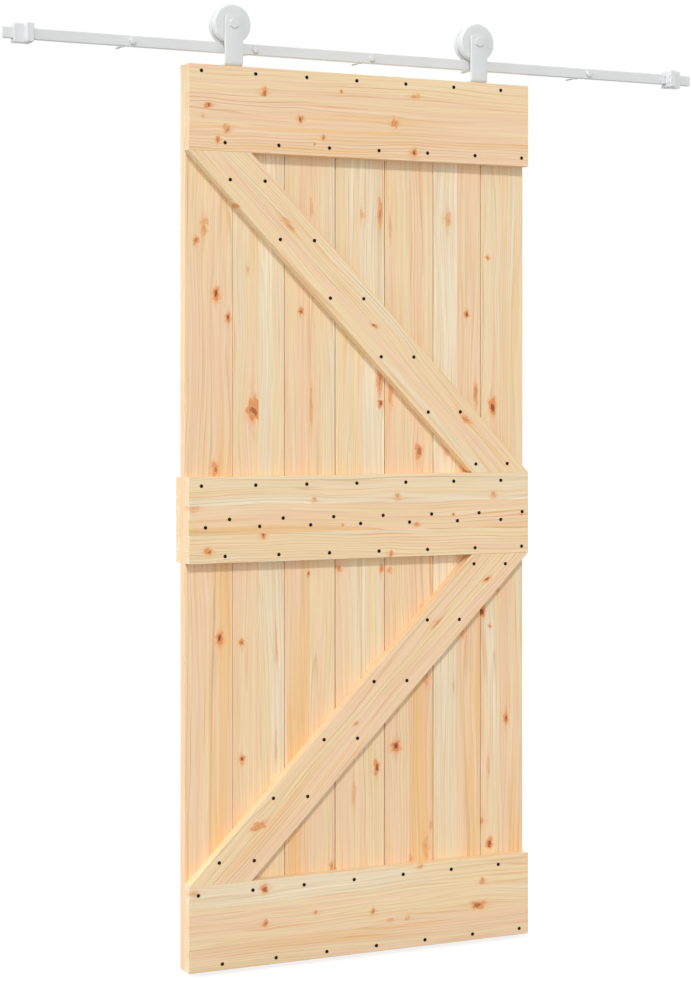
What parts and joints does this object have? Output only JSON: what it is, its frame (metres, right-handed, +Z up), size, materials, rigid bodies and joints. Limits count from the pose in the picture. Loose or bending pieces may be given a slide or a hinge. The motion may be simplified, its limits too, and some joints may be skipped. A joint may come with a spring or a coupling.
{
  "type": "barn door",
  "caption": "Sliding plank barn door with rails and braces, hung by two grooved wheels from a flat wall bar with end stops.",
  "frame": {"origin": "on the wall's face, on the axis of the middle wall screw", "axes": "+X along the bar to the right as seen from the room, +Y into the wall, +Z up"},
  "size_m": [1.83, 0.1474, 2.2463],
  "materials": {
    "pine": "planed, clear satin",
    "black_iron": "black, matt",
    "coated_steel": "pale grey satin coating",
    "plated_screws": "zinc plated",
    "buffer": "pale grey, matt",
    "bush": "turned bronze"
  },
  "bodies": {
    "track": {"track_bar": "coated_steel", "wall_spacers": "coated_steel", "wall_screws": "coated_steel", "left_stop_block": "coated_steel", "left_stop_buffer": "buffer", "left_buffer_screws": "plated_screws", "left_set_screws": "plated_screws", "right_stop_block": "coated_steel", "right_stop_buffer": "buffer", "right_buffer_screws": "plated_screws", "right_set_screws": "plated_screws"},
    "door": {"plank_1": "pine", "plank_2": "pine", "plank_3": "pine", "plank_4": "pine", "plank_5": "pine", "plank_6": "pine", "plank_7": "pine", "top_rail": "pine", "middle_rail": "pine", "bottom_rail": "pine", "back_rail": "pine", "upper_brace": "pine", "lower_brace": "pine", "top_rail_nails": "black_iron", "middle_rail_nails": "black_iron", "bottom_rail_nails": "black_iron", "upper_brace_nails": "black_iron", "lower_brace_nails": "black_iron", "left_foot_screws": "plated_screws", "right_foot_screws": "plated_screws", "left_hanger_strap": "coated_steel", "right_hanger_strap": "coated_steel", "axle_bolts": "coated_steel", "axle_nuts": "coated_steel", "axle_washers": "coated_steel"},
    "wheel_left": {"left_wheel": "coated_steel", "left_wheel_bush": "bush"},
    "wheel_right": {"right_wheel": "coated_steel", "right_wheel_bush": "bush"}
  },
  "joints": [
    {"name": "door_slide", "type": "slide", "parent": "track", "child": "door", "axis": [1, 0, 0], "range_m": [-0.452, 0.526]},
    {"name": "left_wheel_spin", "type": "hinge", "parent": "door", "child": "wheel_left", "pos_m": [-0.3675, -0.057, 0.0548], "axis": [0, 1, 0], "range_deg": [-618, 720]},
    {"name": "right_wheel_spin", "type": "hinge", "parent": "door", "child": "wheel_right", "pos_m": [0.2825, -0.057, 0.0548], "axis": [0, 1, 0], "range_deg": [-618, 720]}
  ],
  "couplings": [
    {"joint": "left_wheel_spin", "follows": "door_slide", "rad_per_m": 23.81},
    {"joint": "right_wheel_spin", "follows": "door_slide", "rad_per_m": 23.81}
  ]
}
